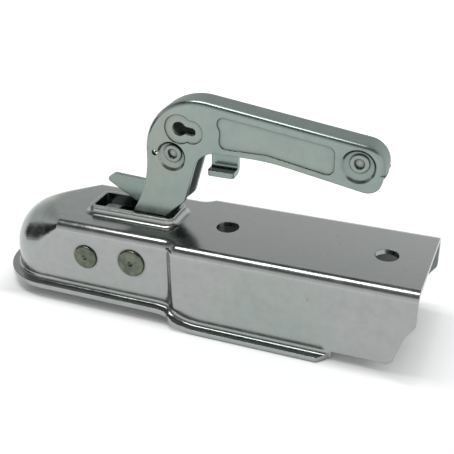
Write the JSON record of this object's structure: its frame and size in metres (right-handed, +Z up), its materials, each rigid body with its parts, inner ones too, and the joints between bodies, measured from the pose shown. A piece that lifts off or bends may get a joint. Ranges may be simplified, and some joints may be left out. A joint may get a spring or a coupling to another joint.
{
  "type": "trailer coupling head",
  "caption": "Pressed-steel trailer coupling head: ball dome, drawbar channel with stepped flange, lever handle with a squeeze catch, and a ball jaw inside.",
  "frame": {"origin": "centre of the tow ball that the head closes on", "axes": "+X back along the drawbar, +Z up, +Y to the right as seen facing the towing car"},
  "size_m": [0.2551, 0.0772, 0.1249],
  "materials": {
    "plated_sheet": "bright zinc plating on pressed sheet",
    "plated_handle": "bright zinc plating, slightly darker",
    "plated_rivet": "dull zinc plating on turned and headed steel",
    "spring_wire": "dark drawn spring wire",
    "jaw_metal": "plain plated steel"
  },
  "bodies": {
    "body": {"housing": "plated_sheet", "jaw_pivot_pin": "plated_rivet", "handle_pivot_pin": "plated_rivet", "pivot_spacer_left": "plated_rivet", "pivot_spacer_right": "plated_rivet", "jaw_spacer_left": "plated_rivet", "jaw_spacer_right": "plated_rivet", "handle_spring_left": "spring_wire", "handle_spring_right": "spring_wire", "jaw_spring": "spring_wire"},
    "lever": {"handle": "plated_handle", "handle_bush": "plated_rivet", "cam_roller": "plated_rivet", "cam_pin": "plated_rivet", "catch_rivet": "plated_rivet", "handle_end_rivet": "plated_rivet", "handle_end_spacer": "plated_rivet", "catch_spacer_left": "plated_rivet", "catch_spacer_right": "plated_rivet", "catch_spring": "spring_wire"},
    "catch": {"safety_catch": "plated_handle"},
    "jaw": {"ball_jaw": "jaw_metal"}
  },
  "joints": [
    {"name": "handle_lift", "type": "hinge", "parent": "body", "child": "lever", "pos_m": [0.0604, 0, 0.0121], "axis": [0, -1, 0], "range_deg": [0, 21], "stiffness_Nm_per_rad": 2, "springref_deg": -22.92},
    {"name": "catch_squeeze", "type": "hinge", "parent": "lever", "child": "catch", "pos_m": [0.0789, 0, 0.0726], "axis": [0, -1, 0], "range_deg": [0, 14], "stiffness_Nm_per_rad": 0.3, "springref_deg": -17.19},
    {"name": "jaw_swing", "type": "hinge", "parent": "body", "child": "jaw", "pos_m": [0.031, 0, 0.0102], "axis": [0, -1, 0], "range_deg": [0, 16.8]}
  ],
  "couplings": [
    {"joint": "jaw_swing", "follows": "handle_lift", "ratio": 0.8}
  ]
}
